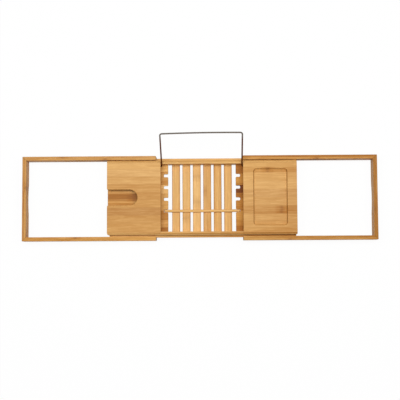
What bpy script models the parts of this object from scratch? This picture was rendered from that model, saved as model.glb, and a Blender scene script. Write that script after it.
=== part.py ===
"""Extending bamboo bath caddy: a slatted tray with two side shelves, two sliding
frames that reach the bath's rims, a leaning wire book support and a loose rod.

Units are metres, +Z is up and the caddy stands on the plane z = 0.
+X runs along the caddy, the front (the bather's side) faces -Y.
Sizes are worked out round the tray's centre, and one empty then moves the whole
caddy so that the middle of its outline lies over the origin.
"""

import math

import bmesh
import bpy
from mathutils import Vector

# Clearances
GLUE_GAP = 0.0003        # between two pieces that are glued or laid together
SLIDE_GAP = 0.0004       # above and below a tongue in its groove
TIP_GAP = 0.0014         # between a tongue's tip and the bottom of its groove
FRAME_SLACK = 0.0008     # how far the frames sit forward of the tray's middle line
MEETING_GAP = 0.0015     # from the tray's middle to an arm's end, fully closed
OVERRUN = 0.004          # how far a cutter runs out of the wood it cuts
WELD = 0.000001          # points closer than this are one point

# Edges
EDGE_EASE = 0.0007       # softened edges of most boards
PANEL_EASE = 0.0004      # the same on the upper boards, which lie tight in the rails
EASE_STEPS = 2
ARC_STEPS = 8            # straight steps in a quarter circle
ROUND_STEPS = 4          # straight steps over a round edge

# Tray, from its underside up
RAIL_BOTTOM = 0.004
SLAT_LIFT = 0.004        # slats above the rails' underside
SLAT_THICKNESS = 0.007
BASE_THICKNESS = 0.008   # lower boards of the side shelves
GLASS_SPACE = 0.010      # room for the foot of a wine glass
PANEL_THICKNESS = 0.009  # upper boards of the side shelves
TRAY_LENGTH = 0.502

# Rails
RAIL_SPACING = 0.179     # clear distance between the two rails
RAIL_WIDTH = 0.009
RAIL_OUTER_ROUND = 0.005
RAIL_INNER_ROUND = 0.0012
LEFT_CORNER_ROUND = 0.0055   # outer corners of the front rail, seen from above
RIGHT_CORNER_ROUND = 0.0025
TONGUE_REACH = 0.0065    # how far a tongue stands out of its rail
TONGUE_LIFT = 0.016      # tongue above the rails' underside
TONGUE_THICKNESS = 0.008
HOUSING_DEPTH = 0.004    # sockets in the rails for slats and lower boards
REBATE_DEPTH = 0.0035    # ledge in the rails on which the upper boards lie

# Slats
SLAT_COUNT = 6
SLAT_GAP = 0.0067        # between two slats
SHELF_GAP = 0.0102       # from a lower board's inner edge to the slat beside it

# Side shelves
PANEL_LENGTH = 0.1418
LEDGE = 0.0192           # lower board beyond the upper board's inner edge
DIVIDER_THICKNESS = 0.008
DIVIDER_SETBACK = 0.003

# Wine glass slot, in the left panel
SLOT_WIDTH = 0.0414
SLOT_LENGTH = 0.080
SLOT_MOUTH_ROUND = 0.003
SLOT_EDGE_ROUND = 0.002
SLOT_SETBACK = 0.0009    # middle of the slot behind the middle of the tray

# Phone recess, in the right panel
RECESS_LENGTH = 0.0890
RECESS_WIDTH = 0.1497
RECESS_DEPTH = 0.0055
RECESS_ROUND = 0.0085
RECESS_COVE = 0.0045     # round between the recess's wall and its floor
RECESS_EDGE_ROUND = 0.0013
RECESS_MARGIN = 0.0271   # from the panel's inner edge
RECESS_SETBACK = 0.0009  # middle of the recess behind the middle of the tray

# Notches for the rod, in the inner edges of the lower boards
NOTCH_COUNT = 4
NOTCH_DEPTH = 0.0115
NOTCH_END_ROUND = 0.0025
NOTCH_MOUTH_ROUND = 0.0022
NOTCH_PITCH = 0.0314
NOTCH_SETBACK = 0.0600   # middle of the rearmost notch behind the tray's middle

# Sliding frames
SIDE_GAP = 0.0031        # from a rail to the arm beside it
FRAME_WALL = 0.0106
FRAME_HEIGHT = 0.038
FRAME_LENGTH = 0.3546
LEFT_REACH = 0.4762      # tray's middle to the left frame's outer face, as shown
RIGHT_REACH = 0.4636     # the same to the right
ARM_END_ROUND = 0.0018
ARM_INNER_ROUND = 0.0015
ARCH_LENGTH = 0.080      # low arch under each end board
ARCH_HEIGHT = 0.006
ARCH_SIDES = 192

# Grip strips under the arms
GRIP_LENGTH = 0.100
GRIP_WIDTH = 0.006
GRIP_THICKNESS = 0.0022
GRIP_PROUD = 0.001       # how far a strip stands out of the wood
GRIP_INSET = 0.030       # from the frame's outer face
GRIP_EASE = 0.0003

# Book support wire
WIRE_RADIUS = 0.0020
BAIL_LENGTH = 0.1061     # from the pivot axis to the middle of the top bar, at the right
BAIL_DROOP = 0.0027      # how much shorter the left leg is
BAIL_BOW = 0.0013        # how far the top bar bows out between its corners
BAIL_SPLAY = 0.0012      # how far the left leg leans out at its top
BAIL_TUCK = 0.0006       # how far the right leg leans in at its top
BAIL_CORNER = 0.0055
FOOT_BEND = 0.0029
FOOT_LENGTH = 0.008      # how far each foot reaches into its hole
FOOT_GAP = 0.0003        # all round each foot
PIVOT_SETBACK = 0.0064   # in front of the back rail's inner face
PIVOT_DROP = 0.0033      # below the top of the tray
WIRE_CORNER_STEPS = 6
BOW_STEPS = 8
HOLE_SIDES = 32

# Book stop rod
ROD_RADIUS = 0.0037
ROD_SIDE_GAP = 0.0003    # between the rod and each side of its notch
ROD_END_GAP = 0.0005     # from the rod's end to the end of its notch
ROD_END_ROUND = 0.002
ROD_SIDES = 32
ROD_END_STEPS = 4

# Angles
SHARP_ANGLE = math.radians(30)
FLAT_ANGLE = math.radians(0.5)

# Levels
SLAT_BOTTOM = RAIL_BOTTOM + SLAT_LIFT
SLAT_TOP = SLAT_BOTTOM + SLAT_THICKNESS
BASE_TOP = SLAT_TOP + BASE_THICKNESS
PANEL_BOTTOM = BASE_TOP + GLASS_SPACE
TRAY_TOP = PANEL_BOTTOM + PANEL_THICKNESS
TONGUE_BOTTOM = RAIL_BOTTOM + TONGUE_LIFT
TONGUE_TOP = TONGUE_BOTTOM + TONGUE_THICKNESS
FRAME_BOTTOM = GRIP_PROUD
FRAME_TOP = FRAME_BOTTOM + FRAME_HEIGHT

# Distances from the tray's middle
TRAY_END = TRAY_LENGTH / 2
PANEL_EDGE = TRAY_END - PANEL_LENGTH
BASE_EDGE = PANEL_EDGE - LEDGE
SLAT_PITCH = (2 * (BASE_EDGE - SHELF_GAP) + SLAT_GAP) / SLAT_COUNT
SLAT_WIDTH = SLAT_PITCH - SLAT_GAP
RAIL_INNER = RAIL_SPACING / 2
RAIL_OUTER = RAIL_INNER + RAIL_WIDTH
TONGUE_TIP = RAIL_OUTER + TONGUE_REACH
PANEL_SIDE = RAIL_INNER + REBATE_DEPTH
ARM_INNER = RAIL_OUTER + SIDE_GAP
ARM_OUTER = ARM_INNER + FRAME_WALL
GROOVE_BOTTOM = TONGUE_TIP + TIP_GAP
NOTCH_END = BASE_EDGE + NOTCH_DEPTH
NOTCH_WIDTH = 2 * (ROD_RADIUS + ROD_SIDE_GAP)
ROD_LENGTH = 2 * (NOTCH_END - ROD_END_GAP)
NOTCH_PLACES = [NOTCH_SETBACK - index * NOTCH_PITCH for index in range(NOTCH_COUNT)]
GROOVE_STOP = FRAME_LENGTH + MEETING_GAP - TRAY_END - SLIDE_GAP

# Book support: pivot, and the angle at which its legs rest on the back rail
PIVOT_Y = RAIL_INNER - PIVOT_SETBACK
PIVOT_Z = TRAY_TOP - PIVOT_DROP
LEG_X = PANEL_EDGE - FOOT_BEND
REST_ALONG = PIVOT_SETBACK + RAIL_INNER_ROUND
REST_UP = PIVOT_DROP - RAIL_INNER_ROUND
REST_DISTANCE = RAIL_INNER_ROUND + WIRE_RADIUS + GLUE_GAP
BAIL_LEAN = (math.asin(REST_DISTANCE / math.hypot(REST_ALONG, REST_UP))
             + math.atan2(REST_UP, REST_ALONG))

# Colours, roughness and metallic value of each material
BAMBOO_LIGHT = (0.730, 0.413, 0.150)
BAMBOO_MID = (0.650, 0.350, 0.120)
BAMBOO_DARK = (0.540, 0.270, 0.085)
STEEL_GREY = (0.330, 0.310, 0.290)
RUBBER_GREY = (0.300, 0.300, 0.290)
WOOD_ROUGHNESS = 0.45
STEEL_ROUGHNESS = 0.30
RUBBER_ROUGHNESS = 0.80


def clear_scene():
    """Remove every object of the scene the script is run in."""
    for thing in list(bpy.data.objects):
        bpy.data.objects.remove(thing)


def new_collection(name):
    """A collection linked to the scene."""
    collection = bpy.data.collections.new(name)
    bpy.context.scene.collection.children.link(collection)
    return collection


def new_material(name, colour, roughness, metallic):
    """A plain Principled material for one sub-part."""
    material = bpy.data.materials.new(name)
    material.use_nodes = True
    shader = material.node_tree.nodes["Principled BSDF"]
    shader.inputs["Base Color"].default_value = (*colour, 1)
    shader.inputs["Roughness"].default_value = roughness
    shader.inputs["Metallic"].default_value = metallic
    return material


def wood(name, colour):
    """The bamboo material of one sub-part."""
    return new_material(name + "_bamboo", colour, WOOD_ROUGHNESS, 0)


def add_part(name, mesh, parent, material):
    """Link a mesh as a named sub-part under its parent."""
    part = bpy.data.objects.new(name, mesh)
    parts.objects.link(part)
    part.parent = parent
    mesh.materials.append(material)
    return part


def add_empty(name, place, parent):
    """An empty that carries other pieces."""
    empty = bpy.data.objects.new(name, None)
    parts.objects.link(empty)
    empty.parent = parent
    empty.location = place
    return empty


def box_into(bm, low, high):
    """Add a box between two corners to a bmesh."""
    low = Vector(low)
    high = Vector(high)
    made = bmesh.ops.create_cube(bm, size=1)
    bmesh.ops.scale(bm, vec=high - low, verts=made["verts"])
    bmesh.ops.translate(bm, vec=(low + high) / 2, verts=made["verts"])


def box_mesh(name, size):
    """A box round its own middle."""
    half = Vector(size) / 2
    bm = bmesh.new()
    box_into(bm, -half, half)
    mesh = bpy.data.meshes.new(name)
    bm.to_mesh(mesh)
    bm.free()
    return mesh


def add_board(name, low, high, parent, material):
    """A rectangular board between two corners, with its origin in its middle."""
    low = Vector(low)
    high = Vector(high)
    board = add_part(name, box_mesh(name, high - low), parent, material)
    board.location = (low + high) / 2
    return board


def arc(centre, radius, start, end):
    """Points on an arc, angles in degrees, both ends included."""
    steps = max(2, round(ARC_STEPS * abs(end - start) / 90))
    points = []
    for step in range(steps + 1):
        angle = math.radians(start + (end - start) * step / steps)
        points.append((centre[0] + radius * math.cos(angle), centre[1] + radius * math.sin(angle)))
    return points


def outline_mesh(name, outline, thickness):
    """A flat outline in X and Y, filled and extruded both ways along Z."""
    curve = bpy.data.curves.new(name, "CURVE")
    curve.dimensions = "2D"
    curve.fill_mode = "BOTH"
    curve.extrude = thickness / 2
    spline = curve.splines.new("POLY")
    spline.points.add(len(outline) - 1)
    for point, (x, y) in zip(spline.points, outline):
        point.co = (x, y, 0, 1)
    spline.use_cyclic_u = True
    return mesh_of_curve(name, curve, FLAT_ANGLE)


def mesh_of_curve(name, curve, flat_angle):
    """Turn a curve into one welded, closed mesh and remove the curve."""
    guide = bpy.data.objects.new(name + "_guide", curve)
    cutters.objects.link(guide)
    bpy.context.view_layer.update()
    depsgraph = bpy.context.evaluated_depsgraph_get()
    mesh = bpy.data.meshes.new_from_object(guide.evaluated_get(depsgraph))
    mesh.name = name
    bm = bmesh.new()
    bm.from_mesh(mesh)
    bmesh.ops.remove_doubles(bm, verts=bm.verts, dist=WELD)
    if flat_angle:
        bmesh.ops.dissolve_limit(bm, angle_limit=flat_angle, verts=bm.verts, edges=bm.edges)
    bmesh.ops.recalc_face_normals(bm, faces=bm.faces)
    bm.to_mesh(mesh)
    bm.free()
    bpy.data.objects.remove(guide)
    bpy.data.curves.remove(curve)
    return mesh


def ease_edges(part, width, steps):
    """Soften the sharp edges of a part."""
    bevel = part.modifiers.new("eased_edges", "BEVEL")
    bevel.width = width
    bevel.segments = steps
    bevel.limit_method = "ANGLE"
    bevel.angle_limit = SHARP_ANGLE


def smooth(part):
    """Shade the round faces of a part smooth."""
    part.data.shade_smooth()
    part.data.set_sharp_from_angle(angle=SHARP_ANGLE)


def add_cutter(name, mesh, parent):
    """Link a mesh as a hidden cutter under a parent."""
    cutter = bpy.data.objects.new(name, mesh)
    cutters.objects.link(cutter)
    cutter.parent = parent
    cutter.hide_render = True
    cutter.display_type = "WIRE"
    return cutter


def box_cutter(name, boxes, parent):
    """One cutter made of boxes, each a pair of corners."""
    bm = bmesh.new()
    for low, high in boxes:
        box_into(bm, low, high)
    mesh = bpy.data.meshes.new(name)
    bm.to_mesh(mesh)
    bm.free()
    return add_cutter(name, mesh, parent)


def rod_mesh(name, radius, length, sides):
    """A cylinder along X round its own middle."""
    bm = bmesh.new()
    made = bmesh.ops.create_cone(bm, cap_ends=True, segments=sides, radius1=radius,
                                 radius2=radius, depth=length)
    turn = Vector((0, 0, 1)).rotation_difference(Vector((1, 0, 0))).to_matrix()
    bmesh.ops.rotate(bm, cent=(0, 0, 0), matrix=turn, verts=made["verts"])
    mesh = bpy.data.meshes.new(name)
    bm.to_mesh(mesh)
    bm.free()
    return mesh


def cut(part, cutter):
    """Cut a part with a cutter."""
    boolean = part.modifiers.new(cutter.name, "BOOLEAN")
    boolean.operation = "DIFFERENCE"
    boolean.object = cutter


def across(side, near, far):
    """Two distances from the middle as a low and a high value on one side of it."""
    return sorted((side * near, side * far))


def slat_places():
    """Middles of the slats along X."""
    middle = (SLAT_COUNT - 1) / 2
    return [(index - middle) * SLAT_PITCH for index in range(SLAT_COUNT)]


def rail_outline():
    """Section of the back rail: Y to the back, Z up, with its tongue and its rounds."""
    bottom = [(RAIL_INNER, RAIL_BOTTOM), (RAIL_OUTER, RAIL_BOTTOM)]
    tongue = [(RAIL_OUTER, TONGUE_BOTTOM), (TONGUE_TIP, TONGUE_BOTTOM),
              (TONGUE_TIP, TONGUE_TOP), (RAIL_OUTER, TONGUE_TOP)]
    outer_middle = (RAIL_OUTER - RAIL_OUTER_ROUND, TRAY_TOP - RAIL_OUTER_ROUND)
    inner_middle = (RAIL_INNER + RAIL_INNER_ROUND, TRAY_TOP - RAIL_INNER_ROUND)
    outer_round = arc(outer_middle, RAIL_OUTER_ROUND, 0, 90)
    inner_round = arc(inner_middle, RAIL_INNER_ROUND, 90, 180)
    return bottom + tongue + outer_round + inner_round


def rail_sockets(back):
    """Boxes cut out of a rail: a socket per slat, two for the lower boards, two ledges."""
    floor = RAIL_INNER + HOUSING_DEPTH
    low_y, high_y = across(back, RAIL_INNER - OVERRUN, floor)
    boxes = []
    for place in slat_places():
        half = SLAT_WIDTH / 2 + GLUE_GAP
        boxes.append(((place - half, low_y, SLAT_BOTTOM - GLUE_GAP),
                      (place + half, high_y, SLAT_TOP + GLUE_GAP)))
    ledge_low, ledge_high = across(back, RAIL_INNER - OVERRUN, PANEL_SIDE)
    for side in (-1, 1):
        low_x, high_x = across(side, BASE_EDGE - GLUE_GAP, TRAY_END + OVERRUN)
        boxes.append(((low_x, low_y, SLAT_TOP - GLUE_GAP),
                      (high_x, high_y, BASE_TOP + GLUE_GAP)))
        low_x, high_x = across(side, PANEL_EDGE - GLUE_GAP, TRAY_END + OVERRUN)
        boxes.append(((low_x, ledge_low, PANEL_BOTTOM - GLUE_GAP),
                      (high_x, ledge_high, TRAY_TOP + OVERRUN)))
    return boxes


def corner_outline(side, radius):
    """What is cut off an end of the front rail, seen from above, to round its outer corner."""
    start = TRAY_END - radius
    level = RAIL_OUTER - radius
    points = arc((start, level), radius, 0, 90)
    points += [(start, TONGUE_TIP + OVERRUN), (TRAY_END + OVERRUN, TONGUE_TIP + OVERRUN),
               (TRAY_END + OVERRUN, level)]
    return [(side * x, -y) for x, y in points]


def make_rail(name, back):
    """A long rail of the tray: back is 1 for the back one and -1 for the front one."""
    outline = [(back * y, z) for y, z in rail_outline()]
    mesh = outline_mesh(name, outline, TRAY_LENGTH)
    rail = add_part(name, mesh, tray, wood(name, BAMBOO_MID))
    rail.rotation_euler = (math.pi / 2, 0, math.pi / 2)
    ease_edges(rail, EDGE_EASE, EASE_STEPS)
    sockets = rail_sockets(back)
    cut(rail, box_cutter(name + "_slat_sockets", sockets[:SLAT_COUNT], tray))
    cut(rail, box_cutter(name + "_shelf_sockets", sockets[SLAT_COUNT:], tray))
    return rail


def round_corners(rail):
    """Round the outer corners of the front rail and end its tongue where they begin."""
    for side, word, radius in ((-1, "left", LEFT_CORNER_ROUND), (1, "right", RIGHT_CORNER_ROUND)):
        name = f"{rail.name}_{word}_corner"
        height = TRAY_TOP - RAIL_BOTTOM + 2 * OVERRUN
        mesh = outline_mesh(name, corner_outline(side, radius), height)
        cutter = add_cutter(name, mesh, tray)
        cutter.location.z = (RAIL_BOTTOM + TRAY_TOP) / 2
        cut(rail, cutter)


def make_slats():
    """The slats between the rails, each let into both of them."""
    reach = RAIL_INNER + HOUSING_DEPTH - GLUE_GAP
    for index, place in enumerate(slat_places(), start=1):
        name = f"slat_{index}"
        low = (place - SLAT_WIDTH / 2, -reach, SLAT_BOTTOM)
        high = (place + SLAT_WIDTH / 2, reach, SLAT_TOP)
        slat = add_board(name, low, high, tray, wood(name, BAMBOO_LIGHT))
        ease_edges(slat, EDGE_EASE, EASE_STEPS)


def notch_outline(side, place):
    """A notch in the lower board's inner edge, with rounded corners and a rounded mouth."""
    half = NOTCH_WIDTH / 2
    corner = (NOTCH_END - NOTCH_END_ROUND, half - NOTCH_END_ROUND)
    mouth = (BASE_EDGE + NOTCH_MOUTH_ROUND, half + NOTCH_MOUTH_ROUND)
    upper = arc(corner, NOTCH_END_ROUND, 0, 90)
    upper += arc(mouth, NOTCH_MOUTH_ROUND, 270, 180)
    upper += [(BASE_EDGE - OVERRUN, mouth[1])]
    points = [(x, -y) for x, y in reversed(upper)] + upper
    return [(side * x, place + y) for x, y in points]


def make_base_board(name, side):
    """A lower board, let into the rails, with its row of notches."""
    reach = RAIL_INNER + HOUSING_DEPTH - GLUE_GAP
    low_x, high_x = across(side, BASE_EDGE, TRAY_END)
    board = add_board(name, (low_x, -reach, SLAT_TOP), (high_x, reach, BASE_TOP), tray,
                      wood(name, BAMBOO_MID))
    for index, place in enumerate(NOTCH_PLACES, start=1):
        height = BASE_THICKNESS + 2 * OVERRUN
        mesh = outline_mesh(f"{name}_notch_{index}", notch_outline(side, place), height)
        notch = add_cutter(f"{name}_notch_{index}", mesh, tray)
        notch.location.z = (SLAT_TOP + BASE_TOP) / 2
        cut(board, notch)
    ease_edges(board, EDGE_EASE, EASE_STEPS)
    smooth(board)


def make_divider(name, side):
    """The wall that closes a shelf's inner side, between its two boards."""
    reach = RAIL_INNER - GLUE_GAP
    near = PANEL_EDGE + DIVIDER_SETBACK
    low_x, high_x = across(side, near, near + DIVIDER_THICKNESS)
    divider = add_board(name, (low_x, -reach, BASE_TOP + GLUE_GAP),
                        (high_x, reach, PANEL_BOTTOM - GLUE_GAP), tray, wood(name, BAMBOO_DARK))
    ease_edges(divider, EDGE_EASE, EASE_STEPS)


def loft_mesh(name, rings):
    """A closed mesh through level rings that all have the same number of points."""
    bm = bmesh.new()
    levels = [[bm.verts.new((x, y, z)) for x, y in ring] for ring, z in rings]
    for lower, upper in zip(levels, levels[1:]):
        for index, point in enumerate(lower):
            bm.faces.new((lower[index - 1], point, upper[index], upper[index - 1]))
    bm.faces.new(levels[0])
    bm.faces.new(levels[-1])
    bmesh.ops.recalc_face_normals(bm, faces=bm.faces)
    mesh = bpy.data.meshes.new(name)
    bm.to_mesh(mesh)
    bm.free()
    return mesh


def cove_profile(radius):
    """Growth and height of a hollow's rings, from its floor up a round at its foot."""
    angles = [math.pi / 2 * step / ARC_STEPS for step in range(ARC_STEPS + 1)]
    return [(-radius * (1 - math.sin(angle)), radius * (1 - math.cos(angle))) for angle in angles]


def edge_profile(radius, depth):
    """Growth and height of a hollow's rings over a round edge at its top.

    The last slope runs on past the top, so that it crosses the wood's surface.
    """
    turn = math.pi / 2 / ROUND_STEPS
    angles = [turn * step for step in range(ROUND_STEPS)]
    profile = [(radius * (1 - math.cos(angle)), depth - radius * (1 - math.sin(angle)))
               for angle in angles]
    rise = radius * (1 - math.sin(angles[-1]))
    run = radius * math.cos(angles[-1])
    grow, height = profile[-1]
    profile.append((grow + 2 * run, height + 2 * rise))
    profile.append((grow + 2 * run, depth + OVERRUN))
    return profile


def slot_outline(grow):
    """The wine glass slot, open at the tray's left end, with a round inner end."""
    half = SLOT_WIDTH / 2 + grow
    mouth = -TRAY_END + SLOT_MOUTH_ROUND
    middle = -TRAY_END + SLOT_LENGTH - SLOT_WIDTH / 2
    corner = half + SLOT_MOUTH_ROUND
    points = [(-TRAY_END - OVERRUN, -corner), (-TRAY_END - OVERRUN, corner)]
    points += arc((mouth, corner), SLOT_MOUTH_ROUND, 180, 270)
    points += arc((middle, 0), half, 90, -90)
    points += arc((mouth, -corner), SLOT_MOUTH_ROUND, 90, 180)
    return points


def slot_cutter():
    """Cutter for the wine glass slot, right through the panel."""
    profile = [(0, -OVERRUN)] + edge_profile(SLOT_EDGE_ROUND, PANEL_THICKNESS)
    rings = [(slot_outline(grow), height) for grow, height in profile]
    cutter = add_cutter("wine_slot", loft_mesh("wine_slot", rings), tray)
    cutter.location = (0, SLOT_SETBACK, PANEL_BOTTOM)
    return cutter


def recess_outline(grow):
    """A rectangle with round corners round its own middle."""
    half_x = RECESS_LENGTH / 2 - RECESS_ROUND
    half_y = RECESS_WIDTH / 2 - RECESS_ROUND
    radius = RECESS_ROUND + grow
    points = arc((half_x, half_y), radius, 0, 90)
    points += arc((-half_x, half_y), radius, 90, 180)
    points += arc((-half_x, -half_y), radius, 180, 270)
    points += arc((half_x, -half_y), radius, 270, 360)
    return points


def recess_cutter():
    """Cutter for the phone recess, part of the way into the panel."""
    profile = cove_profile(RECESS_COVE) + edge_profile(RECESS_EDGE_ROUND, RECESS_DEPTH)
    rings = [(recess_outline(grow), height) for grow, height in profile]
    cutter = add_cutter("phone_recess", loft_mesh("phone_recess", rings), tray)
    middle_x = PANEL_EDGE + RECESS_MARGIN + RECESS_LENGTH / 2
    cutter.location = (middle_x, RECESS_SETBACK, TRAY_TOP - RECESS_DEPTH)
    return cutter


def pivot_cutter(name, side):
    """Cutter for the blind hole that takes a foot of the book support."""
    depth = FOOT_LENGTH + FOOT_GAP + OVERRUN
    mesh = rod_mesh(name, WIRE_RADIUS + FOOT_GAP, depth, HOLE_SIDES)
    cutter = add_cutter(name, mesh, tray)
    cutter.location = (side * (PANEL_EDGE - OVERRUN + depth / 2), PIVOT_Y, PIVOT_Z)
    return cutter


def make_panel(name, side, opening):
    """An upper board on the rails' ledges, with its opening and its pivot hole."""
    reach = PANEL_SIDE - GLUE_GAP
    low_x, high_x = across(side, PANEL_EDGE, TRAY_END)
    panel = add_board(name, (low_x, -reach, PANEL_BOTTOM), (high_x, reach, TRAY_TOP), tray,
                      wood(name, BAMBOO_LIGHT))
    cut(panel, opening)
    ease_edges(panel, PANEL_EASE, EASE_STEPS)
    cut(panel, pivot_cutter(name + "_pivot_hole", side))
    smooth(panel)


def arm_outline(back):
    """An arm seen from above: its outer end left long at x = 0, its length along +X."""
    inner_end = FRAME_LENGTH
    outer = (inner_end - ARM_END_ROUND, ARM_OUTER - ARM_END_ROUND)
    inner = (inner_end - ARM_INNER_ROUND, ARM_INNER + ARM_INNER_ROUND)
    points = [(-OVERRUN, ARM_OUTER), (-OVERRUN, ARM_INNER)]
    points += arc(inner, ARM_INNER_ROUND, 270, 360)
    points += arc(outer, ARM_END_ROUND, 0, 90)
    return [(x, back * y) for x, y in points]


def end_outline():
    """An end board seen from above: its outer face at x = 0, both ends left long."""
    reach = ARM_OUTER + OVERRUN
    return [(0, -reach), (0, reach), (FRAME_WALL, reach), (FRAME_WALL, -reach)]


def mitre_outline(back, beyond):
    """What a mitre cuts off: beyond is -1 for an arm's outer end and 1 for an end board's end."""
    shift = beyond * -(GLUE_GAP / 2 + GLUE_GAP * math.tan(math.pi / 8))
    far = 2 * OVERRUN if beyond < 0 else -FRAME_WALL - 2 * OVERRUN
    outer = ARM_OUTER + 2 * OVERRUN
    inner = ARM_INNER - 2 * OVERRUN
    points = [(shift - 2 * OVERRUN, outer), (FRAME_WALL + shift + 2 * OVERRUN, inner)]
    points += [(-far, inner), (-far, outer)]
    return [(x, back * y) for x, y in points]


def cut_mitre(part, side, back, beyond, slide):
    """Cut an arm's outer end or an end board's end to the corner's slanting joint."""
    place = "back" if back > 0 else "front"
    outline = [(side * (FRAME_LENGTH - x), y) for x, y in mitre_outline(back, beyond)]
    name = f"{part.name}_{place}_mitre"
    cutter = add_cutter(name, outline_mesh(name, outline, FRAME_HEIGHT + 2 * OVERRUN), slide)
    cutter.location.z = (FRAME_BOTTOM + FRAME_TOP) / 2
    cut(part, cutter)


def groove_box(side, back):
    """The groove in an arm for the rail's tongue, closed towards the frame's outer face."""
    low_x, high_x = across(side, -OVERRUN, FRAME_LENGTH - GROOVE_STOP)
    low_y, high_y = across(back, ARM_INNER - OVERRUN, GROOVE_BOTTOM)
    return ((low_x, low_y, TONGUE_BOTTOM - SLIDE_GAP), (high_x, high_y, TONGUE_TOP + SLIDE_GAP))


def grip_box(side, back, slack):
    """The place of a grip strip under an arm, measured from the arm's inner end."""
    start = FRAME_LENGTH - GRIP_INSET - GRIP_LENGTH
    middle = (ARM_INNER + ARM_OUTER) / 2
    low_x, high_x = across(side, start - slack, start + GRIP_LENGTH + slack)
    low_y, high_y = across(back, middle - GRIP_WIDTH / 2 - slack, middle + GRIP_WIDTH / 2 + slack)
    return ((low_x, low_y, FRAME_BOTTOM - GRIP_PROUD),
            (high_x, high_y, FRAME_BOTTOM - GRIP_PROUD + GRIP_THICKNESS + slack))


def make_frame(word, side, reach):
    """A sliding frame: two arms, an end board and two grip strips.

    The frame hangs on an empty at its arms' inner ends, on the line it slides along.
    The outlines start at the outer face, so they are turned or moved out from there.
    """
    slide = add_empty(word + "_slide", (side * (reach - FRAME_LENGTH), -FRAME_SLACK, 0), tray)
    middle_z = (FRAME_BOTTOM + FRAME_TOP) / 2
    for back, place in ((1, "back"), (-1, "front")):
        name = f"{word}_{place}_arm"
        outline = [(side * (FRAME_LENGTH - x), y) for x, y in arm_outline(back)]
        arm = add_part(name, outline_mesh(name, outline, FRAME_HEIGHT), slide,
                       wood(name, BAMBOO_MID))
        arm.location.z = middle_z
        ease_edges(arm, EDGE_EASE, EASE_STEPS)
        cut_mitre(arm, side, back, -1, slide)
        cut(arm, box_cutter(name + "_groove", [groove_box(side, back)], slide))
        cut(arm, box_cutter(name + "_grip_seat", [grip_seat(side, back)], slide))
        smooth(arm)
        make_grip(f"{word}_{place}_grip", side, back, slide)
    make_end_board(word + "_end_board", side, middle_z, slide)


def grip_seat(side, back):
    """The shallow seat of a grip strip, open at the arm's underside."""
    low, high = grip_box(side, back, GLUE_GAP)
    return ((low[0], low[1], low[2] - OVERRUN), high)


def make_grip(name, side, back, slide):
    """A rubber strip let into the underside of an arm."""
    low, high = grip_box(side, back, 0)
    rubber = new_material(name + "_rubber", RUBBER_GREY, RUBBER_ROUGHNESS, 0)
    grip = add_board(name, low, high, slide, rubber)
    ease_edges(grip, GRIP_EASE, EASE_STEPS)


def make_end_board(name, side, middle_z, slide):
    """The end board, with a low arch cut in its underside."""
    outline = [(side * (FRAME_LENGTH - x), y) for x, y in end_outline()]
    board = add_part(name, outline_mesh(name, outline, FRAME_HEIGHT), slide,
                     wood(name, BAMBOO_MID))
    board.location.z = middle_z
    radius = (ARCH_LENGTH ** 2 / 4 + ARCH_HEIGHT ** 2) / (2 * ARCH_HEIGHT)
    mesh = rod_mesh(name + "_arch", radius, FRAME_WALL + 2 * OVERRUN, ARCH_SIDES)
    arch = add_cutter(name + "_arch", mesh, slide)
    arch.location = (side * (FRAME_LENGTH - FRAME_WALL / 2), 0, FRAME_BOTTOM + ARCH_HEIGHT - radius)
    cut(board, arch)
    ease_edges(board, EDGE_EASE, EASE_STEPS)
    for back in (1, -1):
        cut_mitre(board, side, back, 1, slide)
    smooth(board)


def leg_route(length, splay):
    """Middle line of one leg in the wire's plane, from its foot: X out, Y along the leg."""
    points = [(PANEL_EDGE + FOOT_LENGTH, 0)]
    points += wire_arc((LEG_X + FOOT_BEND, FOOT_BEND), FOOT_BEND, 270, 180)
    corner = (LEG_X + splay - BAIL_CORNER, length - BAIL_CORNER)
    return points + wire_arc(corner, BAIL_CORNER, 0, 90)


def bail_route():
    """Middle line of the wire in its own plane, from the right foot to the left one."""
    right = leg_route(BAIL_LENGTH, -BAIL_TUCK)
    left = [(-x, y) for x, y in reversed(leg_route(BAIL_LENGTH - BAIL_DROOP, BAIL_SPLAY))]
    start, end = right[-1], left[0]
    bar = []
    for step in range(1, BOW_STEPS):
        share = step / BOW_STEPS
        bow = BAIL_BOW * math.sin(math.pi * share)
        bar.append((start[0] + (end[0] - start[0]) * share,
                    start[1] + (end[1] - start[1]) * share + bow))
    return right + bar + left


def wire_arc(centre, radius, start, end):
    """Points on a quarter bend of the wire, angles in degrees."""
    points = []
    for step in range(WIRE_CORNER_STEPS + 1):
        angle = math.radians(start + (end - start) * step / WIRE_CORNER_STEPS)
        points.append((centre[0] + radius * math.cos(angle), centre[1] + radius * math.sin(angle)))
    return points


def tray_place():
    """Where the tray's middle lies when the whole outline is centred on the origin."""
    reach = max(y for _x, y in bail_route())
    back = PIVOT_Y + reach * math.cos(BAIL_LEAN) + WIRE_RADIUS
    return ((LEFT_REACH - RIGHT_REACH) / 2, (ARM_OUTER + FRAME_SLACK - back) / 2, 0)


def make_bail():
    """The book support: one bent wire that turns on its two feet."""
    name = "book_support_wire"
    curve = bpy.data.curves.new(name, "CURVE")
    curve.dimensions = "3D"
    curve.bevel_depth = WIRE_RADIUS
    curve.bevel_resolution = 2
    curve.use_fill_caps = True
    route = bail_route()
    spline = curve.splines.new("POLY")
    spline.points.add(len(route) - 1)
    for point, (x, y) in zip(spline.points, route):
        point.co = (x, y, 0, 1)
    steel = new_material(name + "_steel", STEEL_GREY, STEEL_ROUGHNESS, 1)
    bail = add_part(name, mesh_of_curve(name, curve, 0), tray, steel)
    bail.location = (0, PIVOT_Y, PIVOT_Z)
    bail.rotation_euler.x = BAIL_LEAN
    smooth(bail)


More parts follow.
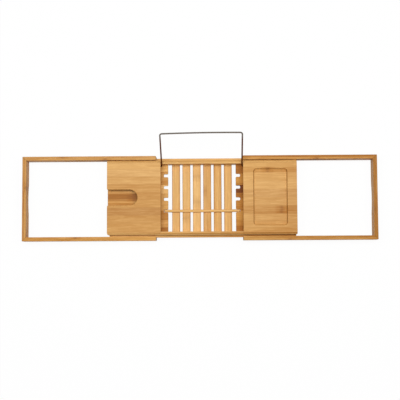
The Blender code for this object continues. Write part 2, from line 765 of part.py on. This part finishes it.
def make_rod():
    """The loose rod that lies on the slats with its ends in the last pair of notches."""
    name = "book_stop_rod"
    rod = add_part(name, rod_mesh(name, ROD_RADIUS, ROD_LENGTH, ROD_SIDES), tray,
                   wood(name, BAMBOO_LIGHT))
    rod.location = (0, NOTCH_PLACES[-1], SLAT_TOP + ROD_RADIUS + GLUE_GAP)
    ease_edges(rod, ROD_END_ROUND, ROD_END_STEPS)
    smooth(rod)


clear_scene()
parts = new_collection("bath_caddy")
cutters = new_collection("cutters")
tray = add_empty("tray_middle", tray_place(), None)

back_rail = make_rail("back_rail", 1)
front_rail = make_rail("front_rail", -1)
round_corners(front_rail)
smooth(back_rail)
smooth(front_rail)
make_slats()
make_base_board("left_base_board", -1)
make_base_board("right_base_board", 1)
make_divider("left_divider", -1)
make_divider("right_divider", 1)
make_panel("left_top_panel", -1, slot_cutter())
make_panel("right_top_panel", 1, recess_cutter())
make_frame("left", -1, LEFT_REACH)
make_frame("right", 1, RIGHT_REACH)
make_bail()
make_rod()
bpy.context.view_layer.update()
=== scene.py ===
"""Looks of the extending bamboo bath caddy: strip-laminated bamboo, a satin steel wire,
grey rubber grips, soft studio light and the photograph's camera.

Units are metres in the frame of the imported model: +X along the caddy, the front
faces -Y, and the floor is at z = 0.
"""

import math

import bpy
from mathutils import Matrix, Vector


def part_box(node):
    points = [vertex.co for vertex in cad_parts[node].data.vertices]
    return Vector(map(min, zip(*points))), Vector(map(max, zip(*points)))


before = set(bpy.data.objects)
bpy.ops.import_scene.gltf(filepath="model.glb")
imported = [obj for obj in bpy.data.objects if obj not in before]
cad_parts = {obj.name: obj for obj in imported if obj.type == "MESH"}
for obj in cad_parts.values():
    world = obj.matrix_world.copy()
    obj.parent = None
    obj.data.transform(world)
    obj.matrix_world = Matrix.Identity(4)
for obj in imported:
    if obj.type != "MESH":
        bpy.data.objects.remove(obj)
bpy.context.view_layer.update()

PHOTO_SIZE = 400         # pixels on a side
SENSOR = 36.0            # width of the camera's sensor, in millimetres

# Camera, measured from the floor below the tray's middle
CAMERA_OFFSET = Vector((0.0184, -0.1797, 2.4028))
CAMERA_TILT = 4.185      # degrees
CAMERA_LEAN = 0.597
CAMERA_ROLL = -0.318
FOCAL_PIXELS = 897.5
VIEW_REACH = 8.0         # how far the camera sees

# Bamboo colours, linear
LIGHT_BAMBOO = (0.900, 0.545, 0.195)
DARK_BAMBOO = (0.450, 0.178, 0.029)
DEEP_BAMBOO = (0.170, 0.045, 0.004)
ROSE_TINT = (0.94, 0.96, 1.12)
KNOT_BROWN = (0.260, 0.095, 0.024)
WORN_BROWN = (0.500, 0.225, 0.070)
GRAIN_END_BROWN = (0.220, 0.085, 0.022)
WHITE = (1.0, 1.0, 1.0)

# Sizes of the bamboo's figure: along the grain, and across it both ways
STREAK_SIZES = (0.110, 0.0016, 0.0016)
FIBRE_SIZES = (0.011, 0.00035, 0.00035)
DRIFT_SIZES = (0.120, 0.012, 0.012)
FLAME_SIZES = (0.038, 0.0035, 0.0035)
SEED_REACH = 37.0        # how far apart two strips' figures are taken, in the figure's lengths
PORE_SIZE = 0.0008       # between the dark bundles that show in the end grain
KNOT_REACH = 0.0085      # half the length of a knot's dark band
KNOT_HALO = 0.022        # from a knot's middle to the end of the shade round it
SEAM_WIDTH = 0.00045     # half the width of the glue line between two strips
LAYER_PAD = 0.0005       # keeps a board's outer faces off the layers' borders
WEAR_WIDTH = 0.0016
SLAT_RIM = 0.0035        # darker margin along each slat's edges

# How much finer detail a noise carries
STREAK_DETAIL = 4.0
SPECK_DETAIL = 3.0
PLAIN_DETAIL = 2.0

# Levels of a pattern: a noise's middle, and those at which a mark is full and at which it begins
NOISE_MIDDLE = 0.5
FLAME_LEVELS = (0.62, 0.50)
DASH_LEVELS = (0.30, 0.44)
PORE_LEVELS = (0.18, 0.42)

# How far each trait moves the tone, which is 0 in light bamboo, 1 in dark and 2 in the deepest
STREAK_SHARE = 0.50
DRIFT_SHARE = 0.40
FLAME_SHARE = 0.14
HALO_SHARE = 0.14
LAYER_SHARE = 0.22
RIM_SHARE = 0.55

# How strongly a mark's own brown covers the wood
DASH_SHARE = 0.20
BAND_SHARE = 0.42
SLAT_BAND_SHARE = 0.17
SEAM_SHARE = 0.34
WEAR_SHARE = 0.42
END_SHARE = 0.45
PORE_SHARE = 0.45        # dark bundles over the browner end grain

# How squarely a face points along the grain where it shows nothing but the fibres' ends, and
# where it begins to show them
FACING_SHARE = 0.90
GLANCING_SHARE = 0.45

# Bamboo's gloss and roughness, and how much rougher dark streaks, dashes and cut ends are
WOOD_SPECULAR = 0.11
WOOD_ROUGHNESS = 0.38
STREAK_ROUGHNESS = 0.16
CUT_ROUGHNESS = 0.12

# Relief of bamboo, and each trait's share of it
WOOD_RELIEF = 0.00012
WOOD_BUMP_SHARE = 0.60
STREAK_RELIEF_SHARE = 0.35
DASH_RELIEF_SHARE = 0.30
SEAM_RELIEF_SHARE = 0.80
BAND_RELIEF_SHARE = 0.50
PORE_RELIEF_SHARE = 0.50

# Strips of each board: where a strip ends as a share of the board's width, how dark
# it is, how rosy it is, and where its knot lies as a share of the board's length, from the
# left or front end. A strip without a knot has 0 there.
NO_KNOT_SHARE = 0.01     # knots lie further along than this
LEFT_PANEL_SHARES = [
    (0.088, 0.48, 0.2, 0.0), (0.198, 0.48, 0.5, 0.0), (0.308, 0.60, 0.3, 0.0),
    (0.419, 0.73, 0.2, 0.0), (0.529, 0.80, 0.2, 0.0), (0.639, 0.72, 0.1, 0.0),
    (0.748, 0.86, 0.7, 0.0), (0.860, 0.77, 0.2, 0.0), (1.000, 0.71, 0.1, 0.0),
]
RIGHT_PANEL_SHARES = [
    (0.068, 0.50, 0.0, 0.0), (0.144, 0.70, 0.0, 0.46), (0.270, 0.50, 0.2, 0.0),
    (0.383, 0.43, 0.3, 0.0), (0.491, 0.60, 0.6, 0.0), (0.620, 0.58, 0.4, 0.0),
    (0.733, 0.80, 0.4, 0.71), (0.837, 0.60, 0.3, 0.0), (0.932, 0.62, 0.2, 0.0),
    (1.000, 0.73, 0.0, 0.0),
]
LEFT_BASE_SHARES = [
    (0.120, 0.42, 0.0, 0.0), (0.310, 0.80, 0.0, 0.0), (0.430, 0.28, 0.5, 0.0),
    (0.510, 0.60, 0.1, 0.0), (0.680, 0.60, 0.0, 0.0), (0.810, 0.96, 0.0, 0.0),
    (0.915, 0.73, 0.0, 0.0), (1.000, 1.30, 0.2, 0.0),
]
# Right base board: its dark tones are partly its own colour and partly painted shade beside the
# right panel
RIGHT_BASE_SHARES = [
    (0.150, 1.28, 0.0, 0.0), (0.290, 0.74, 0.0, 0.0), (0.316, 0.95, 0.0, 0.0),
    (0.427, 2.10, 0.0, 0.0), (0.500, 1.25, 0.0, 0.0), (0.680, 0.93, 0.0, 0.0),
    (0.810, 0.71, 0.0, 0.0), (0.900, 0.93, 0.0, 0.0), (1.000, 1.20, 0.0, 0.0),
]
SLAT_SHARES = [
    [(0.30, 0.33, 0.3, 0.0), (1.00, 0.35, 0.2, 0.0)],
    [(0.60, 0.25, 0.4, 0.217), (1.00, 0.28, 0.2, 0.217)],
    [(0.50, 0.18, 0.4, 0.814), (1.00, 0.20, 0.4, 0.814)],
    [(0.45, 0.44, 0.4, 0.60), (1.00, 0.53, 0.0, 0.0)],
    [(0.70, 0.44, 0.0, 0.0), (1.00, 0.56, 0.0, 0.0)],
    [(0.40, 0.30, 0.1, 0.0), (1.00, 0.40, 0.0, 0.0)],
]
BACK_RAIL_SHARES = [
    (0.42, 0.50, 0.0, 0.0), (0.68, 0.59, 0.0, 0.0), (0.86, 0.41, 0.1, 0.0), (1.00, 0.22, 0.1, 0.0),
]
# Front rail: the dark tongue and the dark band ending at 0.71 are partly painted shade, on the
# tongue beside the arms and on the front-facing rounding
FRONT_RAIL_SHARES = [
    (0.42, 0.80, 0.0, 0.0), (0.55, 0.02, 0.2, 0.0), (0.71, 0.97, 0.0, 0.0), (0.86, 0.64, 0.0, 0.0),
    (1.00, 0.50, 0.1, 0.0),
]
ARM_SHARES = {
    "left_back_arm": [(0.50, 0.78, 0.3, 0.30), (1.00, 0.74, 0.0, 0.62)],
    "left_front_arm": [(0.50, 0.76, 0.0, 0.40), (1.00, 0.76, 0.0, 0.0)],
    "right_back_arm": [(0.50, 1.20, 0.1, 0.0), (1.00, 0.83, 0.0, 0.55)],
    "right_front_arm": [(0.50, 1.00, 0.0, 0.0), (1.00, 0.82, 0.0, 0.35)],
}
LEFT_END_SHARES = [(0.50, 0.98, 0.1, 0.0), (1.00, 0.79, 0.1, 0.63)]
# The thin first strip is painted light on the right end board's inner face
RIGHT_END_SHARES = [(0.05, 0.86, 0.0, 0.0), (0.50, 1.24, 0.2, 0.35), (1.00, 1.12, 0.5, 0.0)]
DIVIDER_SHARES = [(0.50, 0.95, 0.0, 0.0), (1.00, 0.85, 0.0, 0.0)]
ROD_SHARES = [(1.00, 0.21, 0.3, 0.0)]

# Two boards show other strips where they are further than this from their right or back end
FAR_STRIP_REACH = 0.050
FAR_SHARES = {
    # Left base board under the slot: darker tones, partly painted shade, and knots at 0.43 that
    # paint the shadow at the slot's round end
    "left_base_board": [
        (0.310, 0.75, 0.0, 0.0), (0.430, 0.68, 0.5, 0.0), (0.505, 1.20, 1.0, 0.43),
        (0.537, 0.95, 0.9, 0.43), (0.567, 0.73, 0.0, 0.0), (0.598, 0.91, 0.2, 0.0),
        (1.000, 0.75, 0.0, 0.0),
    ],
    "slat_3": [(0.50, 0.18, 0.4, 0.446), (1.00, 0.20, 0.4, 0.446)],
}

# How much darker a board grows towards +X, per metre: partly the board's own tone and partly
# painted shade where the light falls off across the caddy
BOARD_SLOPES = {
    "right_top_panel": 1.2, "front_rail": 1.6, "left_front_arm": -1.1,
    "right_back_arm": 0.8, "right_front_arm": 0.9,
}

# Boards whose bamboo leans to another hue; the right base board's deep orange is partly painted
# shade and bounced light
BOARD_TINTS = {
    "left_base_board": (1.03, 1.03, 0.97), "right_base_board": (1.00, 0.94, 0.64),
    "left_front_arm": (1.03, 0.99, 0.84), "right_back_arm": (1.00, 0.96, 0.84),
    "right_front_arm": (0.97, 0.97, 0.88), "right_end_board": (0.96, 1.00, 1.00),
}

# Wire
STEEL_COLOUR = (0.130, 0.112, 0.094)
# The legs' brown is partly a brown finish and partly painted reflection of the bamboo
LEG_BROWN_AND_REFLECTION = (0.095, 0.022, 0.002)
# Painted contact shadow at the wire's feet
FOOT_PAINTED_SHADOW = (0.045, 0.008, 0.001)
LEG_SPECULAR = 0.05
BAR_DROP = 0.007         # from the wire's top down to where the tint of its legs begins
LEG_DROP = 0.016         # and to where it is full
FOOT_RISE = 0.004        # from the wire's lowest point up to where the painted shadow at its feet is darkest
FOOT_FADE = 0.011        # and to where that painted shadow fades into the legs' brown
SMUDGE_SCALE = 90.0      # smudges per metre
SMUDGE_SHARE = 0.25
SMUDGE_ROUGHNESS = 0.20
STEEL_ROUGHNESS = 0.24
PIT_SCALE = 1400.0       # fine pits per metre
PIT_RELIEF = 0.00005
PIT_BUMP_SHARE = 0.25

# Grips
RUBBER_COLOUR = (0.300, 0.300, 0.290)
RUBBER_ROUGHNESS = 0.65
SPECK_SCALE = 900.0      # pale specks per metre
SPECK_SHARE = 0.30
SPECK_ROUGHNESS = 0.20
RIB_PITCH = 0.002        # ribs across a rubber grip
RIB_RELIEF = 0.0003
RIB_BUMP_SHARE = 0.50

# Shading
ROUNDING = "round_shading"
WELD = 0.00001           # points closer than this are one point
SHARP_ANGLE = math.radians(25)

# Light
WORLD_STRENGTH = 0.20
LAMP_POWER = 63.0
LAMP_LENGTH = 3.6        # along the caddy
LAMP_WIDTH = 0.9
LAMP_PLACE = Vector((0.0, 0.26, 2.4))
LAMP_TARGET = Vector((0.0, 0.0, 0.0))
FLOOR_SIZE = 8.0
FLOOR_DROP = 0.0002
FLOOR_BOUNCE = 0.70      # how much light the floor sends back to the caddy
FLOOR_ROUGHNESS = 0.9
FLOOR_SHADE_SHARE = 0.05  # part of the floor's white that a shadow can take away


class Net:
    """Short forms for adding and linking the nodes of one tree."""

    def __init__(self, tree):
        self.tree = tree

    def add(self, kind, inputs=None, **settings):
        """Add a node, with its settings, and set or link its inputs."""
        node = self.tree.nodes.new(kind)
        for name, value in settings.items():
            setattr(node, name, value)
        for key, value in (inputs or {}).items():
            self.feed(node.inputs[key], value)
        return node

    def feed(self, socket, value):
        """Link a socket to another, or set its value."""
        if isinstance(value, bpy.types.NodeSocket):
            self.tree.links.new(value, socket)
        elif isinstance(value, tuple) and socket.type == "RGBA":
            socket.default_value = (*value, 1)
        else:
            socket.default_value = value

    def math(self, operation, first, second=0.0, clamp=False):
        """The result of a Math node."""
        node = self.add("ShaderNodeMath", {0: first, 1: second}, operation=operation,
                        use_clamp=clamp)
        return node.outputs[0]

    def plus(self, first, second):
        """Two values added."""
        return self.math("ADD", first, second)

    def minus(self, first, second):
        """A value less another."""
        return self.math("SUBTRACT", first, second)

    def times(self, first, second):
        """Two values multiplied."""
        return self.math("MULTIPLY", first, second)

    def total(self, start, parts):
        """A value with others added to it, each scaled by its share."""
        for value, share in parts:
            start = self.plus(start, self.times(value, share))
        return start

    def swing(self, noise):
        """A noise value as a swing round zero."""
        return self.minus(noise, NOISE_MIDDLE)

    def mix(self, share, first, second, blend="MIX"):
        """Two colours mixed by a share."""
        node = self.add("ShaderNodeMix", {0: share, 6: first, 7: second}, data_type="RGBA",
                        blend_type=blend)
        return node.outputs[2]

    def fade(self, value, full, none):
        """1 where value is at full or beyond, falling smoothly to 0 at none."""
        node = self.add("ShaderNodeMapRange", {0: value, 1: full, 2: none, 3: 1.0, 4: 0.0},
                        interpolation_type="SMOOTHSTEP")
        return node.outputs[0]

    def place(self):
        """The place of each point of the piece."""
        return self.add("ShaderNodeTexCoord").outputs["Object"]

    def split(self, vector):
        """The three parts of a vector."""
        return self.add("ShaderNodeSeparateXYZ", {0: vector}).outputs

    def join(self, values):
        """A vector of up to three values."""
        return self.add("ShaderNodeCombineXYZ", dict(enumerate(values))).outputs[0]

    def noise(self, vector, detail, scale=1.0):
        """A noise value round 0.5."""
        node = self.add("ShaderNodeTexNoise", {"Vector": vector, "Scale": scale, "Detail": detail})
        return node.outputs[0]

    def figure(self, places, sizes, shift, detail=PLAIN_DETAIL):
        """Noise stretched to a length along the grain and a width across it."""
        scaled = [self.math("DIVIDE", value, size) for value, size in zip(places, sizes)]
        scaled[0] = self.plus(scaled[0], shift)
        return self.noise(self.join(scaled), detail)

    def bump(self, height, strength, distance):
        """The surface's direction when it is raised by a height."""
        node = self.add("ShaderNodeBump", {"Height": height, "Strength": strength,
                                           "Distance": distance})
        return node.outputs[0]


def new_material(name):
    """A material with its Principled shader and a Net of its tree."""
    material = bpy.data.materials.new(name)
    material.use_nodes = True
    shader = material.node_tree.nodes["Principled BSDF"]
    return material, shader, Net(material.node_tree)


def feed_surface(net, shader, colour, roughness, normal):
    """Feed a shader its colour, roughness and bump."""
    net.feed(shader.inputs["Base Color"], colour)
    net.feed(shader.inputs["Roughness"], roughness)
    net.feed(shader.inputs["Normal"], normal)


def strip_ramp(net, position, shares):
    """A strip's traits, as the red, green and blue of the colour at its place."""
    node = net.add("ShaderNodeValToRGB", {0: position})
    ramp = node.color_ramp
    ramp.interpolation = "CONSTANT"
    start = 0.0
    for index, (end, *traits) in enumerate(shares):
        stop = ramp.elements[0] if index == 0 else ramp.elements.new(start)
        stop.position = start
        stop.color = (*traits, 1)
        start = end
    # A new ramp has a stop of its own at its far end
    ramp.elements.remove(ramp.elements[-1])
    return node.outputs[0]


def strip_traits(net, name, position, shares, along, high_end):
    """The tone, rosiness and knot place of the strip at a share of the board's width."""
    strips = strip_ramp(net, position, shares)
    # On the left base board the far strips carry painted shade under the slot and painted shadow
    # at its round end
    if name in FAR_SHARES:
        far = net.math("GREATER_THAN", net.minus(high_end, along), FAR_STRIP_REACH)
        strips = net.mix(far, strips, strip_ramp(net, position, FAR_SHARES[name]))
    return net.add("ShaderNodeSeparateColor", {0: strips}).outputs


def glue_lines(net, position, shares, width):
    """1 on the glue line between two strips, and 0 elsewhere."""
    line = 0.0
    for end, *_traits in shares[:-1]:
        distance = net.times(net.math("ABSOLUTE", net.minus(position, end)), width)
        line = net.math("MAXIMUM", net.fade(distance, 0.0, SEAM_WIDTH), line)
    return line


def layer_traits(net, height, low, high, layers):
    """The glue lines between a board's layers, and a value of its own for each layer."""
    span = high - low + 2 * LAYER_PAD
    level = net.times(net.plus(height, LAYER_PAD - low), layers / span)
    whole = net.math("FLOOR", level)
    part = net.minus(level, whole)
    near = net.math("MINIMUM", part, net.minus(1.0, part))
    seam = net.fade(net.times(near, span / layers), 0.0, SEAM_WIDTH)
    value = net.add("ShaderNodeTexWhiteNoise", {1: whole}, noise_dimensions="1D").outputs[0]
    return seam, value


def strip_shift(net, tone, rose, layer_value):
    """How far along the grain a strip's figure is taken from, so that no two are alike."""
    own = net.join([tone, rose])
    seed = net.add("ShaderNodeTexWhiteNoise", {0: own}, noise_dimensions="3D").outputs[0]
    return net.times(net.plus(seed, layer_value), SEED_REACH)


def wood_figure(net, places, shift):
    """The wood's streaks, drifts of tone, pale flames and short dark dashes."""
    streak = net.figure(places, STREAK_SIZES, shift, STREAK_DETAIL)
    drift = net.figure(places, DRIFT_SIZES, shift)
    flame = net.fade(net.figure(places, FLAME_SIZES, shift), *FLAME_LEVELS)
    dash = net.fade(net.figure(places, FIBRE_SIZES, shift), *DASH_LEVELS)
    return streak, drift, flame, dash


def knot_marks(net, from_low_end, length, knot, drift):
    """The dark band of a strip's knot, and the shade round it."""
    reach = net.minus(from_low_end, net.times(knot, length))
    distance = net.math("ABSOLUTE", net.total(reach, [(net.swing(drift), KNOT_REACH)]))
    knotty = net.math("GREATER_THAN", knot, NO_KNOT_SHARE)
    band = net.times(knotty, net.fade(distance, 0.0, KNOT_REACH))
    halo = net.times(knotty, net.fade(distance, KNOT_REACH, KNOT_HALO))
    return band, halo


def edge_nearness(net, places, low, high):
    """1 on the board's edges, falling to 0 away from them, and how far its long sides are."""
    gaps = []
    for value, start, end in zip(places, low, high):
        offset = net.math("ABSOLUTE", net.minus(value, (start + end) / 2))
        gaps.append(net.minus((end - start) / 2, offset))
    near = 0.0
    for first, second in ((0, 1), (1, 2), (0, 2)):
        reach = net.plus(gaps[first], gaps[second])
        near = net.math("MAXIMUM", net.fade(reach, 0.0, WEAR_WIDTH), near)
    return near, gaps[1]


def end_grain(net, places, facing):
    """How far a face shows the ends of the fibres, and the dark bundles in it."""
    normal = net.split(net.add("ShaderNodeNewGeometry").outputs["Normal"])
    squareness = net.math("ABSOLUTE", normal[facing])
    share = net.fade(squareness, FACING_SHARE, GLANCING_SHARE)
    vector = net.join([net.math("DIVIDE", value, PORE_SIZE) for value in places[1:]])
    cells = net.add("ShaderNodeTexVoronoi", {"Vector": vector, "Scale": 1.0},
                    voronoi_dimensions="2D")
    return share, net.fade(cells.outputs["Distance"], *PORE_LEVELS)


def wood_colour(net, name, tone, rose):
    """The colour of a board's bamboo at a tone and rosiness."""
    colour = net.mix(net.math("MULTIPLY", tone, 1.0, clamp=True), LIGHT_BAMBOO, DARK_BAMBOO)
    colour = net.mix(net.math("SUBTRACT", tone, 1.0, clamp=True), colour, DEEP_BAMBOO)
    colour = net.mix(rose, colour, net.mix(1.0, colour, ROSE_TINT, "MULTIPLY"))
    # On the right base board this tint is partly painted shade and bounced light
    if name in BOARD_TINTS:
        colour = net.mix(1.0, colour, BOARD_TINTS[name], "MULTIPLY")
    return colour


def bamboo(name, grain, side, shares, layers=1, sign=-1, rim=0.0, band_share=BAND_SHARE):
    """Bamboo laminated from strips that run along one axis and lie side by side across another.

    layers is the number of glued layers in the third direction, sign tells from which
    side the shares run, rim darkens the board towards its long edges over that width, and
    band_share is the strength of its knots.
    """
    material, shader, net = new_material(name + "_bamboo")
    order = ["XYZ".index(grain), "XYZ".index(side)]
    order.append(3 - sum(order))
    low, high = ([corner[index] for index in order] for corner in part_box(name))
    axes = net.split(net.place())
    places = [axes[index] for index in order]
    length, width = high[0] - low[0], high[1] - low[1]
    near_side = low[1] if sign > 0 else high[1]
    position = net.times(net.minus(places[1], near_side), sign / width)

    tone, rose, knot = strip_traits(net, name, position, shares, places[0], high[0])
    layer_seam, layer_value = layer_traits(net, places[2], low[2], high[2], layers)
    seam = net.math("MAXIMUM", layer_seam, glue_lines(net, position, shares, width))
    shift = strip_shift(net, tone, rose, layer_value)
    streak, drift, flame, dash = wood_figure(net, places, shift)
    band, halo = knot_marks(net, net.minus(places[0], low[0]), length, knot, drift)
    worn, side_gap = edge_nearness(net, places, low, high)
    cut_end, pores = end_grain(net, places, order[0])

    parts = [(net.swing(layer_value), LAYER_SHARE)] if layers > 1 else []
    parts += [(net.swing(streak), STREAK_SHARE), (net.swing(drift), DRIFT_SHARE)]
    parts += [(halo, HALO_SHARE), (flame, -FLAME_SHARE)]
    if rim:
        parts.append((net.fade(side_gap, 0.0, rim), RIM_SHARE))
    # Painted shade: a gradient of tone along the board standing in for the light falling off
    # across the caddy
    if name in BOARD_SLOPES:
        from_middle = net.minus(places[0], (low[0] + high[0]) / 2)
        parts.append((from_middle, BOARD_SLOPES[name]))
    colour = wood_colour(net, name, net.total(tone, parts), rose)
    for mark, share in ((dash, DASH_SHARE), (band, band_share), (seam, SEAM_SHARE)):
        colour = net.mix(net.times(mark, share), colour, KNOT_BROWN)
    colour = net.mix(net.times(net.times(worn, drift), WEAR_SHARE), colour, WORN_BROWN)
    end_brown = net.mix(net.total(END_SHARE, [(pores, PORE_SHARE)]), colour, GRAIN_END_BROWN)
    colour = net.mix(cut_end, colour, end_brown)

    cut = net.math("MAXIMUM", dash, cut_end)
    roughness = net.total(WOOD_ROUGHNESS, [(streak, STREAK_ROUGHNESS), (cut, CUT_ROUGHNESS)])
    height = net.total(0.0, [
        (streak, STREAK_RELIEF_SHARE), (dash, -DASH_RELIEF_SHARE), (seam, -SEAM_RELIEF_SHARE),
        (band, BAND_RELIEF_SHARE), (net.times(pores, cut_end), -PORE_RELIEF_SHARE),
    ])
    feed_surface(net, shader, colour, roughness, net.bump(height, WOOD_BUMP_SHARE, WOOD_RELIEF))
    shader.inputs["Specular IOR Level"].default_value = WOOD_SPECULAR
    return material


def steel():
    """Satin steel wire with fine pits. Its legs are brown, partly a brown finish and partly
    painted reflection of the bamboo, and its feet are darkest with painted contact shadow.
    """
    material, shader, net = new_material("satin_steel")
    low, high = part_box("book_support_wire")
    height = net.split(net.place())[2]
    smudge = net.noise(net.place(), SPECK_DETAIL, SMUDGE_SCALE)
    # Legs: brown that is partly a finish and partly painted reflection of the bamboo
    leg = net.fade(height, high[2] - LEG_DROP, high[2] - BAR_DROP)
    # Painted contact shadow, darkest at the wire's feet
    foot_shadow = net.fade(height, low[2] + FOOT_RISE, low[2] + FOOT_FADE)
    colour = net.mix(foot_shadow, net.mix(leg, STEEL_COLOUR, LEG_BROWN_AND_REFLECTION), FOOT_PAINTED_SHADOW)
    colour = net.mix(net.times(smudge, SMUDGE_SHARE), colour, WHITE, "OVERLAY")
    roughness = net.total(STEEL_ROUGHNESS, [(smudge, SMUDGE_ROUGHNESS)])
    pits = net.noise(net.place(), PLAIN_DETAIL, PIT_SCALE)
    feed_surface(net, shader, colour, roughness, net.bump(pits, PIT_BUMP_SHARE, PIT_RELIEF))
    net.feed(shader.inputs["Metallic"], net.minus(1.0, leg))
    shader.inputs["Specular IOR Level"].default_value = LEG_SPECULAR
    return material


def rubber():
    """Matt grey rubber with fine ribs across each strip."""
    material, shader, net = new_material("grip_rubber")
    along = net.split(net.place())[0]
    rib = net.math("SINE", net.times(along, math.tau / RIB_PITCH))
    speck = net.noise(net.place(), SPECK_DETAIL, SPECK_SCALE)
    colour = net.mix(net.times(speck, SPECK_SHARE), RUBBER_COLOUR, WHITE, "OVERLAY")
    roughness = net.total(RUBBER_ROUGHNESS, [(speck, SPECK_ROUGHNESS)])
    feed_surface(net, shader, colour, roughness, net.bump(rib, RIB_BUMP_SHARE, RIB_RELIEF))
    return material


def make_rounding():
    """Geometry nodes that join split corners and shade gentle edges smooth."""
    group = bpy.data.node_groups.new(ROUNDING, "GeometryNodeTree")
    for way in ("INPUT", "OUTPUT"):
        group.interface.new_socket("Geometry", in_out=way, socket_type="NodeSocketGeometry")
    net = Net(group)
    entry = net.add("NodeGroupInput").outputs[0]
    joined = net.add("GeometryNodeMergeByDistance", {"Geometry": entry, "Distance": WELD})
    plain = net.add("GeometryNodeRemoveAttribute", {"Geometry": joined.outputs[0],
                                                    "Name": "custom_normal"})
    soft = net.add("GeometryNodeSetShadeSmooth", {"Geometry": plain.outputs[0],
                                                  "Shade Smooth": True})
    angle = net.add("GeometryNodeInputMeshEdgeAngle").outputs[0]
    sharp = net.add("FunctionNodeCompare", {0: angle, 1: SHARP_ANGLE}, operation="GREATER_THAN")
    crisp = net.add("GeometryNodeSetShadeSmooth", {"Geometry": soft.outputs[0],
                                                   "Selection": sharp.outputs[0],
                                                   "Shade Smooth": False}, domain="EDGE")
    net.feed(net.add("NodeGroupOutput").inputs[0], crisp.outputs[0])


def dress(name, material):
    """Give a CAD node its material and round its shading."""
    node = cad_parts[name]
    node.data.materials.clear()
    node.data.materials.append(material)
    smooth = node.modifiers.new(ROUNDING, "NODES")
    smooth.node_group = bpy.data.node_groups[ROUNDING]
    flat = node.modifiers.new("flat_faces", "WEIGHTED_NORMAL")
    flat.keep_sharp = True


def dress_board(name, grain, side, shares, **traits):
    """Dress a board in bamboo of its own."""
    dress(name, bamboo(name, grain, side, shares, **traits))


def dress_tray():
    """Rails, shelves, dividers, slats and the loose rod."""
    dress_board("back_rail", "X", "Y", BACK_RAIL_SHARES, layers=2)
    dress_board("front_rail", "X", "Y", FRONT_RAIL_SHARES, layers=2, sign=1)
    dress_board("left_top_panel", "X", "Y", LEFT_PANEL_SHARES, layers=2)
    dress_board("right_top_panel", "X", "Y", RIGHT_PANEL_SHARES)
    dress_board("left_base_board", "X", "Y", LEFT_BASE_SHARES)
    dress_board("right_base_board", "X", "Y", RIGHT_BASE_SHARES)
    for name in ("left_divider", "right_divider"):
        dress_board(name, "Y", "X", DIVIDER_SHARES)
    for index, shares in enumerate(SLAT_SHARES, start=1):
        dress_board(f"slat_{index}", "Y", "X", shares, sign=1, rim=SLAT_RIM,
                    band_share=SLAT_BAND_SHARE)
    dress_board("book_stop_rod", "X", "Y", ROD_SHARES)


def dress_frames():
    """Arms, end boards and grips of both frames."""
    grip = rubber()
    for word, end_shares in (("left", LEFT_END_SHARES), ("right", RIGHT_END_SHARES)):
        for place in ("back", "front"):
            name = f"{word}_{place}_arm"
            dress_board(name, "X", "Y", ARM_SHARES[name], layers=2)
            dress(f"{word}_{place}_grip", grip)
        dress_board(f"{word}_end_board", "Y", "X", end_shares, layers=2, sign=1)


def direct_rays(net):
    """1 for what the camera sees straight, mirrored or through glass, and 0 for other light."""
    rays = net.add("ShaderNodeLightPath").outputs
    seen = net.math("MAXIMUM", rays["Is Camera Ray"], rays["Is Glossy Ray"])
    return net.math("MAXIMUM", seen, rays["Is Transmission Ray"])


def make_floor():
    """A white floor that keeps a faint shadow and sends a little light back up."""
    bpy.ops.mesh.primitive_plane_add(size=FLOOR_SIZE, location=(0, 0, -FLOOR_DROP))
    floor = bpy.context.object
    floor.name = "studio_floor"
    material, shader, net = new_material("studio_floor_white")
    seen = direct_rays(net)
    net.feed(shader.inputs["Base Color"], net.mix(seen, (FLOOR_BOUNCE,) * 3, WHITE))
    shader.inputs["Roughness"].default_value = FLOOR_ROUGHNESS
    shader.inputs["Specular IOR Level"].default_value = 0.0
    glow = net.add("ShaderNodeEmission", {"Color": WHITE, "Strength": 1.0})
    share = net.times(seen, 1 - FLOOR_SHADE_SHARE)
    mixed = net.add("ShaderNodeMixShader", {0: share, 1: shader.outputs[0], 2: glow.outputs[0]})
    net.feed(material.node_tree.nodes["Material Output"].inputs["Surface"], mixed.outputs[0])
    floor.data.materials.append(material)


def make_world():
    """Even white light from all round, seen and mirrored as white."""
    world = bpy.data.worlds.new("studio")
    bpy.context.scene.world = world
    world.use_nodes = True
    net = Net(world.node_tree)
    strength = net.total(WORLD_STRENGTH, [(direct_rays(net), 1 - WORLD_STRENGTH)])
    background = world.node_tree.nodes["Background"]
    background.inputs["Color"].default_value = (*WHITE, 1)
    net.feed(background.inputs["Strength"], strength)


def make_lamp():
    """One long soft lamp overhead, a little behind the caddy."""
    lamp = bpy.data.lights.new("lamp", "AREA")
    lamp.shape = "RECTANGLE"
    lamp.size = LAMP_LENGTH
    lamp.size_y = LAMP_WIDTH
    lamp.energy = LAMP_POWER
    light = bpy.data.objects.new("lamp", lamp)
    bpy.context.scene.collection.objects.link(light)
    light.location = LAMP_PLACE
    light.rotation_euler = (LAMP_TARGET - LAMP_PLACE).to_track_quat("-Z", "Y").to_euler()


def tray_middle():
    """The point of the floor below the tray's middle, from the rails' boxes."""
    low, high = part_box("back_rail")
    front_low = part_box("front_rail")[0]
    return Vector(((low[0] + high[0]) / 2, (front_low[1] + high[1]) / 2, 0))


def make_camera():
    """The photograph's view, almost straight down."""
    lens = bpy.data.cameras.new("photo_camera")
    lens.sensor_width = SENSOR
    lens.lens = FOCAL_PIXELS * SENSOR / PHOTO_SIZE
    lens.clip_end = VIEW_REACH
    camera = bpy.data.objects.new("photo_camera", lens)
    bpy.context.scene.collection.objects.link(camera)
    camera.location = tray_middle() + CAMERA_OFFSET
    angles = (CAMERA_TILT, CAMERA_LEAN, CAMERA_ROLL)
    camera.rotation_euler = [math.radians(angle) for angle in angles]
    bpy.context.scene.camera = camera


make_camera()
make_world()
make_lamp()
make_floor()
make_rounding()
dress_tray()
dress_frames()
dress("book_support_wire", steel())
bpy.context.scene.view_settings.view_transform = "Standard"
